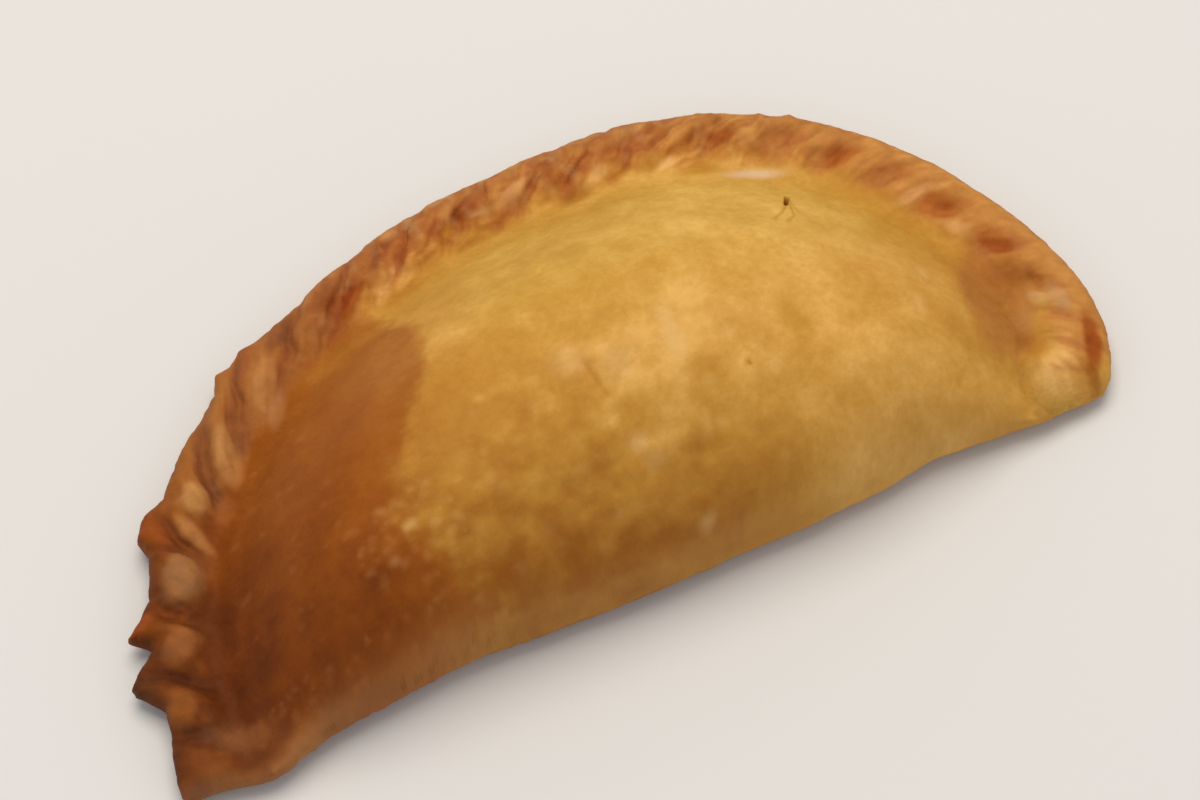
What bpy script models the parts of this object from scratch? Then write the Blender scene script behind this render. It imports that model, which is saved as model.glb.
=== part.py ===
"""A sweet empanada: a half-moon of shortcrust folded over its filling and sealed with a rope crimp.

Sizes are in millimetres. The middle of the folded edge is at (0, 0), the fold runs along X and the rim
bows towards +Y. The mesh itself is in metres, and stands on the middle of its own box.
"""

import bmesh
import bpy
import numpy as np
from mathutils.geometry import delaunay_2d_cdt

MM = 0.001

# The rim in plan: (direction from the middle of the fold, radius), with the left tip at 180 degrees
RIM_RADII = (
    (186, 72.0),
    (180, 71.3),
    (172, 69.6),
    (160, 69.7),
    (145, 70.2),
    (128, 69.2),
    (110, 68.2),
    (95, 69.3),
    (80, 71.4),
    (66, 75.6),
    (52, 78.5),
    (40, 79.9),
    (26, 79.6),
    (12, 78.7),
    (5, 76.4),
    (0, 72.7),
    (-6, 67.0),
)
# The folded edge isn't quite straight: (place, how far it stands in, half width of the wave)
FOLD_WAVES = ((-58.5, -2.3, 6), (-28, 1.2, 15), (3, -0.45, 10), (26, -0.8, 16), (44, 0.7, 6), (65, -1.1, 9))
TIPS_MIDDLE, TIPS_APART = 0.7, 144.0
TIP_CUT = 1.2  # how far from the corner the two edges turn into each other
TIP_FADE = 7.0  # over how far the base turns the corner

# The crimps, from the left tip to the right one: each is a fold of the border laid on the one before
CRIMP_WIDTHS = (
    6.8, 9.4, 10.5, 12.2, 11.9, 10.9, 12.9, 9.9, 12.3, 13.0, 11.9, 5.7,
    11.8, 11.8, 13.6, 7.7, 9.5, 9.5, 10.9, 11.5, 6.7, 6.5, 5.1,
)  # fmt: skip
ROPE_WIDTH = 10.0
ROPE_CREST = 4.6  # how far in the rope stands highest
ROPE_BASE = 5.2  # the rope's height between two crimps
ROPE_SLOPE = 0.3  # how fast its surface falls away under the dome
CRIMP_SKEW = 0.85  # under 1 sets a crimp's top back towards the valley before it
CRIMP_ROUNDNESS = 0.7  # under 1 makes plump crimps with narrow valleys
# (place along the rim, value): how far the valleys lean for each mm inwards, how plump the crimps are,
# and how softly the rope runs into the dome
CRIMP_LEANS = ((0, 0.3), (20, 0.5), (55, 1.5), (195, 1.5), (232, 0.7))
CRIMP_HEIGHTS = ((0, 1.6), (30, 2.7), (80, 2.5), (110, 1.7), (160, 1.9), (200, 2.5), (220, 1.3), (232, 0.9))
SEAM_SOFTNESS = ((0, 2.0), (30, 0.8), (80, 1.0), (110, 3.2), (160, 3.0), (200, 1.6), (232, 2.4))
# Corners of crimps that stand out of the rim: (place, how far out, half width)
TEETH = ((18.0, 4.0, 2.6), (26.0, 2.9, 1.5), (41.6, 2.0, 2.6), (67.4, 1.6, 1.5), (72.2, 1.5, 3.0))
TOOTH_DEPTH = 4.5  # how far in a tooth pulls the crimp out
# A round dent left by a thumb in one crimp near the right tip
DENT_PLACE, DENT_INSET, DENT_RADIUS, DENT_DEPTH = 191.0, 5.4, 3.2, 1.8

# The dome over the filling
DOME_HEIGHT = 34.0
DOME_CENTRE, DOME_HALF_LENGTH = 1.0, 80.0
DOME_ARCH = 2.0  # 2 arches evenly from tip to tip, and more is flatter along the middle
DOME_FULL_SPAN = 36.0  # the dome is lower where fold and rim are nearer to each other than this
CREST_SHARE = 0.43  # of the way from the fold to the rim
DOME_INSET, DOME_FOOT = 7.4, 3.2  # where the dome starts inside the rim, and at what height
FAR_SIDE = 1.25  # 1 falls to the rim as a cosine does, and more runs out flatter
# Slow waves over it: (turn per mm along the fold, turn per mm across it, phase, height)
DOME_WAVES = ((0.045, 0.030, 0.6, 0.45), (0.021, 0.081, 2.1, 0.35), (0.093, 0.052, 4.0, 0.22))

# The side: the height at which each edge stands out furthest, and how far in the flat base starts
RIM_EDGE_HEIGHT, RIM_DRAW_IN = 2.8, 2.0
FOLD_EDGE_HEIGHT, FOLD_DRAW_IN = 4.6, 4.4
TIP_SHARPNESS = 6  # how suddenly the fold's edge thins at the tips
SIDE_HEIGHT, SIDE_DRAW_IN = 0.38, 0.25  # shares of both, half way round the underside's edge

CRUST_COLOUR = (0.45, 0.215, 0.06, 1.0)
CRUST_ROUGHNESS = 0.55
SHARP_ANGLE = 60  # degrees between faces, over which an edge isn't shaded smooth

# Spacing of the mesh: along the edges, over the dome, and in rows inside each edge
RIM_STEP, FOLD_STEP, DOME_STEP = 1.3, 2.6, 2.7
RIM_ROWS = (0.28, 1.0, 2.0, 3.1, 4.2, 5.3, 6.4, 7.6, 8.8, 10.2)
FOLD_ROWS = (0.45, 1.7, 3.6, 5.8)
ROW_GAP = 1.3  # clear of the rows, before other points start
CROSSED_SHARE = 0.97
SAME_POINT = 1e-6


def smooth_through(x, knots):
    """The natural cubic curve through the knots, read at x."""
    at, values = np.array(sorted(knots), float).T
    gaps = np.diff(at)
    slopes = np.diff(values) / gaps
    system = np.eye(len(at))
    right = np.zeros(len(at))
    for i in range(1, len(at) - 1):
        system[i, i - 1 : i + 2] = gaps[i - 1], 2 * (gaps[i - 1] + gaps[i]), gaps[i]
        right[i] = 6 * (slopes[i] - slopes[i - 1])
    bend = np.linalg.solve(system, right)
    i = np.clip(np.searchsorted(at, x) - 1, 0, len(gaps) - 1)
    before, after, gap = x - at[i], at[i + 1] - x, gaps[i]
    curved = (bend[i] * after**3 + bend[i + 1] * before**3) / (6 * gap)
    level = (values[i] * after + values[i + 1] * before) / gap
    return curved + level - gap * (bend[i] * after + bend[i + 1] * before) / 6


def along(place, knots):
    """A size that changes steadily along the rim."""
    at, values = np.array(knots, float).T
    return np.interp(place, at, values)


def bump(distance, half_width):
    return np.exp(-((distance / half_width) ** 2))


def soft_max(a, b, softness):
    return 0.5 * (a + b + np.sqrt((a - b) ** 2 + softness**2))


def quarter_round(share):
    """Rises from 0 to 1 as the first quarter of a circle does."""
    return np.sqrt(1 - (1 - np.clip(share, 0, 1)) ** 2)


class Rim:
    """The sealed edge in plan, from the left tip to the right one. A place on it is a length along it."""

    def __init__(self, samples=3000):
        degrees = np.linspace(180, 0, samples)
        radius, turn = smooth_through(degrees, RIM_RADII), np.radians(degrees)
        self.points = np.stack([radius * np.cos(turn), radius * np.sin(turn)], axis=1)
        steps = np.linalg.norm(np.diff(self.points, axis=0), axis=1)
        self.places = np.concatenate([[0], np.cumsum(steps)])
        self.length = self.places[-1]
        ahead = np.gradient(self.points, self.places, axis=0)
        ahead /= np.linalg.norm(ahead, axis=1)[:, None]
        self.inward = np.stack([ahead[:, 1], -ahead[:, 0]], axis=1)

    def read(self, place, values):
        return np.stack([np.interp(place, self.places, values[:, k]) for k in (0, 1)], axis=1)

    def at(self, place, inset, teeth=True):
        """Points at these places, this far inside the rim."""
        if teeth:
            reach = sum(out * bump(place - where, half) for where, out, half in TEETH)
            inset = inset - reach * np.exp(-inset / TOOTH_DEPTH)
        inset = np.broadcast_to(inset, np.shape(place))
        return self.read(place, self.points) + inset[:, None] * self.read(place, self.inward)

    def nearest(self, points):
        """The place nearest to each point, and how far inside it the point is."""
        place, inset = np.empty(len(points)), np.empty(len(points))
        for i, point in enumerate(points):
            away = np.hypot(*(self.points - point).T)
            closest = np.argmin(away)
            place[i], inset[i] = self.places[closest], away[closest]
        return place, inset


def fold_line(x):
    return sum(amount * bump(x - where, half) for where, amount, half in FOLD_WAVES)


def fold_share(x):
    """1 along most of the fold, falling to 0 at the tips, where it is as thin as the rim."""
    return 1 - np.clip(np.abs(x - TIPS_MIDDLE) / TIPS_APART * 2, 0, 1) ** TIP_SHARPNESS


def edge_height(x, is_fold):
    return RIM_EDGE_HEIGHT + (FOLD_EDGE_HEIGHT - RIM_EDGE_HEIGHT) * fold_share(x) * is_fold


def crimp_share(place, inset):
    """How far through its crimp a point is, from 0 in one valley to 1 in the next."""
    valleys = np.concatenate([[0], np.cumsum(CRIMP_WIDTHS)])
    leaning = place + along(place, CRIMP_LEANS) * (inset - ROPE_CREST)
    i = np.clip(np.searchsorted(valleys, leaning) - 1, 0, len(CRIMP_WIDTHS) - 1)
    return np.clip((leaning - valleys[i]) / (valleys[i + 1] - valleys[i]), 0, 1)


def rope_height(place, inset, from_fold):
    """The crimped rope: round across, with slanting valleys between its plump folds."""
    outer, inner = inset / ROPE_CREST, (ROPE_WIDTH - inset) / (ROPE_WIDTH - ROPE_CREST)
    inner_side = quarter_round(inner) + ROPE_SLOPE * np.minimum(inner, 0)
    body = np.where(inset < ROPE_CREST, quarter_round(outer), inner_side)
    plump = np.sin(np.pi * crimp_share(place, inset) ** CRIMP_SKEW) ** CRIMP_ROUNDNESS
    top = ROPE_BASE - RIM_EDGE_HEIGHT + along(place, CRIMP_HEIGHTS) * plump
    dent = DENT_DEPTH * bump(np.hypot(place - DENT_PLACE, inset - DENT_INSET), DENT_RADIUS)
    return RIM_EDGE_HEIGHT + top * body * quarter_round(from_fold / ROPE_CREST) - dent


def dome_height(x, y, inset, from_fold):
    """The swell of the filling, highest a little nearer the fold, and running out at both tips."""
    to_rim = np.maximum(inset - DOME_INSET, 0)
    share = from_fold / np.maximum(from_fold + to_rim, SAME_POINT)
    end = np.clip(np.abs(x - DOME_CENTRE) / DOME_HALF_LENGTH, 0, 1)
    narrow = np.clip((from_fold + to_rim) / DOME_FULL_SPAN, 0, 1)
    height = DOME_HEIGHT * (1 - end**DOME_ARCH) * narrow * (2 - narrow)
    near = quarter_round(share / CREST_SHARE)
    far = np.cos(np.pi / 2 * np.clip((share - CREST_SHARE) / (1 - CREST_SHARE), 0, 1)) ** FAR_SIDE
    rise = np.where(share < CREST_SHARE, near, far)
    waves = sum(size * np.sin(x * across + y * along_y + phase) for across, along_y, phase, size in DOME_WAVES)
    edge = edge_height(x, 1)
    foot = edge + (DOME_FOOT - edge) * share
    under_rope = ROPE_SLOPE * np.maximum(DOME_INSET - inset, 0)
    return foot + (np.maximum(height - foot, 0) + waves) * rise - under_rope


def top_height(points, place, inset):
    x, y = points.T
    from_fold = np.maximum(y - fold_line(x), 0)
    rope = rope_height(place, inset, from_fold)
    return soft_max(rope, dome_height(x, y, inset, from_fold), along(place, SEAM_SOFTNESS))


def edge_steps(rim):
    """Places along the rim, from its right end, and then x along the fold, from its left end."""
    place = np.linspace(rim.length - TIP_CUT, TIP_CUT, round(rim.length / RIM_STEP))
    left, right = rim.points[0, 0] + TIP_CUT, rim.points[-1, 0] - TIP_CUT
    return place, np.linspace(left, right, round((right - left) / FOLD_STEP))


def outline(rim):
    """The edge seen from above, anticlockwise: the points furthest out, those without teeth that the
    base is drawn in from, and 1 for those on the fold."""
    place, x = edge_steps(rim)
    fold = np.stack([x, fold_line(x)], axis=1)
    is_fold = np.concatenate([np.zeros(len(place)), np.ones(len(x))])
    outer, plain = (np.concatenate([rim.at(place, 0.0, teeth), fold]) for teeth in (True, False))
    return outer, plain, is_fold


def inward_of(ring):
    """Directions into a closed ring, eased round its corners."""
    step = np.roll(ring, -1, axis=0) - np.roll(ring, 1, axis=0)
    inward = np.stack([-step[:, 1], step[:, 0]], axis=1)
    inward /= np.linalg.norm(inward, axis=1)[:, None]
    gaps = np.linalg.norm(ring[:, None] - ring[None], axis=2)
    eased = bump(gaps, TIP_FADE / 2) @ inward
    return eased / np.linalg.norm(eased, axis=1)[:, None]


def inner_points(rim):
    """The points of the top inside its edge, with their places along the rim and their insets."""
    place, fold_x = edge_steps(rim)
    band_place = np.concatenate([place + RIM_STEP / 2 * (row % 2) for row in range(len(RIM_ROWS))])
    band_inset = np.repeat(RIM_ROWS, len(place))
    band = rim.at(band_place, band_inset)
    _, true_inset = rim.nearest(rim.at(band_place, band_inset, teeth=False))
    # Rows set off from a bend cross there, and their points then lie nearer to another part of the rim
    keep = (true_inset > CROSSED_SHARE * band_inset) & (band[:, 1] - fold_line(band[:, 0]) > ROW_GAP)
    band, band_place, band_inset = band[keep], band_place[keep], band_inset[keep]

    rows = []
    for i, row in enumerate(FOLD_ROWS):
        x = fold_x + FOLD_STEP / 2 * (i % 2)
        rows.append(np.stack([x, fold_line(x) + row], axis=1))
    step_y = DOME_STEP * np.sqrt(3) / 2
    for i, y in enumerate(np.arange(FOLD_ROWS[-1] + ROW_GAP, rim.points[:, 1].max(), step_y)):
        x = np.arange(rim.points[:, 0].min() + DOME_STEP / 2 * (i % 2), rim.points[:, 0].max(), DOME_STEP)
        rows.append(np.stack([x, np.full(len(x), y)], axis=1))
    body = np.concatenate(rows)
    from_fold = body[:, 1] - fold_line(body[:, 0])
    place, inset = rim.nearest(body)
    inside = np.hypot(body[:, 0], body[:, 1]) < np.hypot(*rim.read(place, rim.points).T)
    keep = inside & (inset > RIM_ROWS[-1] + ROW_GAP) & (from_fold > FOLD_ROWS[0] - SAME_POINT)
    return (
        np.concatenate([band, body[keep]]),
        np.concatenate([band_place, place[keep]]),
        np.concatenate([band_inset, inset[keep]]),
    )


def crust_mesh():
    rim = Rim()
    outer, plain, is_fold = outline(rim)
    count = len(outer)
    inner, place, inset = inner_points(rim)
    flat = [tuple(point) for point in np.concatenate([outer, inner])]
    _, _, faces, sources, _, within = delaunay_2d_cdt(flat, [], [list(range(count))], 1, SAME_POINT, True)

    edge = edge_height(outer[:, 0], is_fold)
    heights = np.concatenate([edge, top_height(inner, place, inset)])
    top = np.column_stack([np.array(flat), heights])
    draw_in = RIM_DRAW_IN + (FOLD_DRAW_IN - RIM_DRAW_IN) * fold_share(outer[:, 0]) * is_fold
    inward = inward_of(plain)
    base = np.column_stack([plain + inward * draw_in[:, None], np.zeros(count)])
    side_plan = (outer + plain) / 2 + inward * draw_in[:, None] * SIDE_DRAW_IN
    side = np.column_stack([side_plan, SIDE_HEIGHT * edge])

    points = np.concatenate([top, side, base])
    low, high = points.min(axis=0), points.max(axis=0)
    points -= [*(low + high)[:2] / 2, low[2]]

    mesh = bmesh.new()
    verts = [mesh.verts.new(point * MM) for point in points]
    for face, parents in zip(faces, within):
        if parents:  # a face outside the edge has none
            mesh.faces.new([verts[sources[corner][0]] for corner in face])
    side_start, base_start = len(top), len(top) + count
    for i in range(count):
        j = (i + 1) % count
        for upper, lower in ((0, side_start), (side_start, base_start)):
            mesh.faces.new([verts[upper + j], verts[upper + i], verts[lower + i], verts[lower + j]])
    mesh.faces.new([verts[base_start + i] for i in reversed(range(count))])
    bmesh.ops.recalc_face_normals(mesh, faces=mesh.faces)
    return mesh


def baked_crust():
    material = bpy.data.materials.new("baked shortcrust")
    material.use_nodes = True
    shader = material.node_tree.nodes["Principled BSDF"]
    shader.inputs["Base Color"].default_value = CRUST_COLOUR
    shader.inputs["Roughness"].default_value = CRUST_ROUGHNESS
    shader.inputs["Metallic"].default_value = 0.0
    return material


def main():
    for obj in list(bpy.data.objects):
        bpy.data.objects.remove(obj, do_unlink=True)
    built = crust_mesh()
    data = bpy.data.meshes.new("empanada")
    built.to_mesh(data)
    built.free()
    data.materials.append(baked_crust())
    data.shade_smooth()
    data.set_sharp_from_angle(angle=np.radians(SHARP_ANGLE))
    empanada = bpy.data.objects.new("empanada", data)
    bpy.context.scene.collection.objects.link(empanada)


main()
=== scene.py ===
import math

import bpy
import numpy as np
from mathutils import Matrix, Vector, noise
from mathutils.geometry import delaunay_2d_cdt


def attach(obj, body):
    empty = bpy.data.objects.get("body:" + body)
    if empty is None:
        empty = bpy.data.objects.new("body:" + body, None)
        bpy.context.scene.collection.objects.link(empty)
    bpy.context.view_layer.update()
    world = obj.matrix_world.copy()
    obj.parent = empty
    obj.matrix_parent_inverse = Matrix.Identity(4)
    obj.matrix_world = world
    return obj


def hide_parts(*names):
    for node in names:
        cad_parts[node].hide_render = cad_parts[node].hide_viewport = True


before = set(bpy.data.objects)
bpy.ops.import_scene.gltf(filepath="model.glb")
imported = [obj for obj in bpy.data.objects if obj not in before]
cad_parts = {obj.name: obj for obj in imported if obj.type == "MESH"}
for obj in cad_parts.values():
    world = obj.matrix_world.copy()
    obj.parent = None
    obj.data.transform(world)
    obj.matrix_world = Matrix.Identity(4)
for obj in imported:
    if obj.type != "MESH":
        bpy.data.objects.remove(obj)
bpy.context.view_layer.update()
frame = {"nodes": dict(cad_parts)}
mm = 0.001
print("frame loaded:", ", ".join(frame["nodes"]))

# The form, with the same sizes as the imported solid
empanada = {
    # the rim: (direction from the middle of the fold in degrees, radius), the left tip at 180
    "rimRadii": ((186, 72.0), (180, 71.3), (172, 69.6), (160, 69.7), (145, 70.2), (128, 69.2),
                 (110, 68.2), (95, 69.3), (80, 71.4), (66, 75.6), (52, 78.5), (40, 79.9),
                 (26, 79.6), (12, 78.7), (5, 76.4), (0, 72.7), (-6, 67.0)),
    # the fold isn't straight: (place, how far it stands in, half width of the wave)
    "foldWaves": ((-58.5, -2.3, 6), (-28, 1.2, 15), (3, -0.45, 10), (26, -0.8, 16), (44, 0.7, 6),
                  (65, -1.1, 9)),
    "tipsMiddle": 0.7, "tipsApart": 144.0, "tipCut": 1.2, "tipFade": 7.0, "tipSharpness": 6,
    # the rope crimp, from the left tip to the right one
    "crimpWidths": (7.8, 8.8, 10.3, 12.3, 13.6, 11.2, 12.8, 10.7, 12.0, 12.5, 12.0, 7.0,
                    10.0, 12.0, 12.2, 8.6, 9.4, 10.4, 11.0, 10.0, 6.6, 6.2, 4.6),
    "ropeCrest": 4.6, "ropeBase": 5.2, "ropeSlope": 0.3,
    "crimpSkew": 0.85,
    "crimpReach": 1.2,  # how much further in than its valleys a fold runs onto the dome
    "scallop": 0.3, "scallopFade": 2.0,  # how far a fold stands out of the edge, beyond its valleys
    "meanPlumpness": 0.6, "leanReach": 11.0,
    "crimpsEnd": (13.0, 9.0),  # the crimps are gone at this inset, and whole up to this one
    # (place along the rim, value): width of the rope, lean of the valleys, height of the folds, softness
    # of the seam; a roundness under 1 is a plump fold with narrow valleys, over 1 a ridge with wide ones
    "ropeWidths": ((0, 8.2), (45, 8.6), (70, 9.2), (90, 8.6), (145, 8.8), (165, 9.4), (232, 9.4)),
    "crimpLeans": ((0, 0.3), (16, 0.8), (30, 0.8), (55, 1.7), (90, 1.4), (150, 1.1), (165, 0.8), (232, 0.7)),
    "crimpHeights": ((0, 1.8), (30, 2.6), (80, 2.2), (105, 1.2), (150, 1.3), (165, 2.0), (200, 2.4),
                     (220, 1.3), (232, 0.9)),
    # size of its lumps, and (place, mm)
    "crimpWobble": (3.2, ((0, 0.5), (70, 0.8), (95, 2.4), (150, 2.4), (165, 0.7), (232, 0.5))),
    "crimpRoundness": ((0, 0.85), (80, 0.85), (115, 1.0), (160, 1.25), (232, 1.25)),
    "seamSoftness": ((0, 2.6), (30, 2.4), (80, 2.2), (110, 3.2), (160, 3.4), (200, 2.8), (232, 2.4)),
    "unevenness": (7.0, 0.35),  # of the folds' height: length of the change, share
    # to the right the valleys are hollows that end before the edge: from where to where, middle, half width
    "hollows": (120, 165, 6.2, 3.0),
    # corners of folds that stand out: (place, how far), and from how far they fill the valleys
    "corners": ((14.0, 0), (16.9, 3.6), (18.2, 3.8), (21.4, 1.4), (22.9, 0.1), (23.6, 0.3), (24.7, 3.1),
                (25.3, 3.3), (27.5, 1.5), (30.6, 0), (37.3, 0), (39.6, 2.1), (43.4, 1.7), (46.4, 0),
                (64.4, 0), (66.9, 1.6), (69.3, 0.9), (71.6, 1.4), (74.6, 0.5), (77, 0)),
    "cornerDepth": 4.5, "fullCorner": 2.0,
    "dent": (193.0, 5.8, 3.0, 1.2),  # a thumb's mark: place, inset, radius, depth
    # the dome over the filling
    "domeHeight": 34.0, "domeCentre": 1.0, "domeHalfLength": 80.0, "domeArch": 2.0, "domeFullSpan": 36.0,
    "crestShare": 0.43, "domeInset": 7.4, "domeFoot": 3.2, "farSide": 1.25,
    "domeWaves": ((0.045, 0.030, 0.6, 0.45), (0.021, 0.081, 2.1, 0.35), (0.093, 0.052, 4.0, 0.22)),
    # the sides
    "rimEdgeHeight": 2.8, "rimDrawIn": 2.0, "foldEdgeHeight": 4.6, "foldDrawIn": 4.4,
    # where the rope's ends run into the fold, and how wide it evens out there
    "tipJoins": ((70.0, 5.0, 6.0), (-66.0, 3.0, 5.0)),
    # evening out comes in between these insets and these ways from the fold; the seam's share and half width
    "settleRounds": 60, "domeSettles": ((11, 14), (2.5, 8)), "tipsSettle": ((2, 6), (0.5, 3)),
    "seamSettles": (0.2, 2.0, (4, 9)),
}

# How fine the mesh is
spacing = {
    "rim": 0.38, "fold": 0.5, "dome": 0.52, "base": 1.6, "baseBox": ((-75, -3), (82, 75)), "baseClear": 1.0,
    "rimRows": tuple(np.concatenate([[0.06, 0.2, 0.42, 0.72], np.arange(1.1, 12.4, 0.4)])),
    "foldRows": (0.07, 0.24, 0.5, 0.85, 1.25, 1.7, 2.2, 2.75),
    "sideRings": 7, "gap": 0.45, "crossed": 0.97, "same": 1e-6, "foldFade": 12.0, "atOnce": 2000,
    # (x, y, radius, step) round the vent and its slit, the crease and the largest blister
    "fine": ((41.0, 40.0, 5.2, 0.2), (42.1, 41.7, 2.2, 0.11), (0.5, 19.5, 3.4, 0.28), (8.5, 3.4, 2.8, 0.28)),
}

# The small relief that baking leaves: how wide, how high
relief = {
    "swells": ((9.0, 0.24), (3.4, 0.09), (1.2, 0.035)),
    # x, y, half length, half width, angle, size, height
    "wrinkles": (-3.0, 9.0, 14.0, 6.5, -15.0, 2.4, 0.22),
    # streaks along the crimps: across, along, (place, height)
    "strands": (
        (0.9, 3.4, ((0, 0.10), (75, 0.14), (100, 0.20), (155, 0.20), (180, 0.12), (232, 0.10))),
        (2.4, 3.6, ((0, 0.15), (75, 0.3), (95, 0.6), (155, 0.6), (175, 0.2), (232, 0.15))),
    ),
    # lumps of the rim, and the crumbly low edge: size, (place, height)
    "rimLumps": (1.9, ((0, 0.12), (75, 0.2), (95, 0.45), (155, 0.45), (175, 0.2), (232, 0.15))),
    "crumbs": {"size": 1.1, "height": 0.22, "reach": 3.5, "ends": ((-64, -56), (-6, -22))},
    # the dome gathered behind the valleys, and the ragged edge
    "gathers": {"depth": 0.12, "fade": 3.0, "insets": (7, 10), "folds": (6, 12)},
    "ragged": {"size": 1.2, "out": 0.14, "fade": 1.2},
    # the rope's relief fades onto the dome, at the edge and at the fold, and all relief fades down the side
    "ropeFades": ((11, 8), (0.2, 1.5), (2, 6)), "sideFade": (1.0, 0.5),
    # a crease, the vent and the cracks that run from it: corners, half width, depth
    "cuts": (
        (((-0.1, 21.6), (0.7, 19.4), (1.1, 16.8)), 0.45, 0.16),
        (((42.9, 42.9), (42.2, 41.8), (41.3, 40.4)), 0.24, 1.6),
        (((41.2, 40.2), (39.1, 37.6), (36.8, 36.0)), 0.22, 0.16),
        (((42.0, 40.6), (40.4, 36.4), (38.4, 34.9)), 0.22, 0.13),
        (((42.6, 41.6), (41.6, 37.2)), 0.22, 0.10),
    ),
    # raised spots: x, y, radius, height
    "blisters": ((8.6, 1.4, 1.5, 0.45), (-22.0, 15.0, 1.6, 0.16), (30.0, 22.0, 1.8, 0.14),
                 (-46.0, 17.0, 2.0, 0.18)),
    "base": {"size": 6.0, "height": 0.35},
}

# Pads and spots of the rim. Each has its own height, and changes the toast, the amber and the pale there.
# Raised pads and crests are painted paler and dents darker, partly the crust's own colour and partly painted
# highlight and painted shade.
rimSpots = (
    # place, inset, half along, half across, height, toast and shade, amber, pale
    (0.5, 1.8, 1.5, 2.6, 0.0, 0.20, 0.8, 0.0), (4.0, 5.0, 2.0, 3.2, 0.2, -0.10, 0.0, 0.02),
    (8.4, 5.2, 1.0, 3.0, -0.3, 0.10, 0.0, 0.0), (12.4, 2.2, 2.9, 2.2, 0.35, -0.24, 0.0, 0.05),
    (17.2, 0.4, 1.9, 1.8, -0.2, 0.12, -0.6, 0.02), (21.6, 4.6, 3.0, 2.5, 0.4, -0.18, 0.2, 0.10),
    (18.6, -2.6, 2.2, 1.4, 0.0, -0.20, 0.2, 0.10), (26.4, 0.4, 1.8, 1.7, 0.0, -0.26, 1.6, 0.0),
    (27.4, 4.6, 0.9, 2.4, -0.3, -0.06, 0.2, 0.0), (32.3, 5.2, 4.0, 2.9, 0.5, -0.14, -0.2, 0.23),
    (37.0, 3.4, 0.8, 2.6, -0.35, 0.08, 0.3, 0.0), (40.0, 1.6, 2.6, 2.4, 0.2, -0.10, 0.9, 0.0),
    (39.9, 6.5, 1.7, 2.6, 0.45, -0.34, 0.4, 0.14), (46.0, 5.2, 2.5, 2.2, 0.4, -0.22, -0.1, 0.18),
    (50.0, 5.5, 1.0, 3.0, -0.3, 0.08, 0.5, 0.0), (45.5, 9.5, 3.0, 1.6, 0.2, -0.16, 0.2, 0.04),
    (54.6, 7.2, 3.4, 3.2, 0.25, -0.22, 0.3, 0.16), (61.4, 4.4, 1.2, 2.8, -0.3, 0.12, 0.3, 0.0),
    (68.5, 6.5, 3.6, 2.6, 0.25, -0.13, 0.4, 0.08), (69.6, 2.0, 2.4, 1.8, 0.2, 0.17, 0.9, 0.0),
    (65.8, 9.8, 2.6, 2.0, 0.1, -0.04, 0.1, 0.16), (162.4, 5.0, 2.6, 2.0, 0.0, 0.10, 0.2, 0.0),
    (80.8, 7.0, 2.4, 2.0, 0.2, -0.03, 0.2, 0.05), (87.5, 5.0, 2.6, 1.5, -0.2, 0.12, 0.5, 0.0),
    (94.0, 7.5, 2.4, 2.0, 0.3, -0.30, 0.0, 0.16), (98.5, 6.0, 1.2, 2.0, -0.2, 0.10, 0.4, 0.0),
    (102.9, 4.3, 1.8, 1.4, 0.2, 0.10, 0.4, 0.0), (105.5, 5.4, 1.8, 1.4, -0.2, 0.12, 0.4, 0.0),
    (111.4, 4.0, 2.6, 1.4, -0.1, 0.16, 0.1, 0.03), (115.5, 8.0, 2.6, 1.1, -0.1, 0.12, 0.6, 0.0),
    (119.0, 5.6, 2.4, 1.6, 0.4, -0.18, 0.0, 0.28), (127.5, 6.4, 1.6, 2.2, -0.2, 0.02, 0.3, 0.0),
    (132.0, 7.8, 1.8, 1.2, 0.2, -0.16, 0.1, 0.20), (139.0, 4.6, 2.6, 1.8, -0.2, 0.08, 0.8, 0.0),
    (144.2, 8.8, 1.7, 1.1, 0.25, -0.22, 0.0, 0.28), (153.6, 5.0, 2.2, 2.0, -0.1, 0.12, 0.5, -0.08),
    (173.7, 5.9, 2.5, 2.0, 0.0, -0.03, 0.6, -0.15), (190.9, 6.5, 2.3, 2.0, 0.0, -0.02, 0.7, -0.15),
    (202.4, 6.0, 2.9, 1.6, 0.0, 0.0, 0.6, -0.15), (226.2, 2.6, 5.6, 1.3, -0.12, 0.34, 0.8, -0.12),
    (223.4, 7.2, 3.4, 2.2, 0.12, -0.07, -0.4, 0.03), (187.2, 7.4, 1.2, 2.6, 0.2, -0.05, 0.0, 0.22),
    (196.2, 8.0, 2.2, 1.1, 0.1, -0.07, 0.0, 0.22), (214.6, 7.5, 2.0, 1.2, 0.15, 0.0, -0.2, 0.36),
    (216.4, 5.0, 3.0, 1.4, 0.1, 0.13, -0.5, 0.36), (211.2, 6.0, 1.9, 0.8, -0.1, 0.14, 0.3, 0.0),
    (77.2, 2.0, 3.0, 2.0, 0.0, 0.26, 0.0, 0.0), (83.6, 3.7, 2.8, 2.2, 0.0, 0.23, 0.0, 0.0),
    (88.9, 5.7, 2.4, 1.9, 0.0, 0.22, 0.5, -0.15), (96.4, 3.4, 2.3, 1.8, -0.1, 0.27, 0.3, 0.0),
    (97.4, 8.2, 2.4, 1.6, 0.1, -0.16, 0.0, 0.05), (108.6, 5.6, 2.2, 1.5, 0.0, -0.03, -0.2, -0.1),
    (230.6, 7.2, 3.4, 2.6, -0.3, -0.04, -0.7, 0.03),
)
rimSpotEdge = 2.4  # how sharply they end
rimSpotReach = 14.0  # they lie no further in than this
rimSpotLeans = ((0, 0), (36, 0), (39, 0.9), (45, 0.5), (60, 1.3), (150, 1.1), (165, 0.7), (215, 0.5),
                (220, 0))


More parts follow.
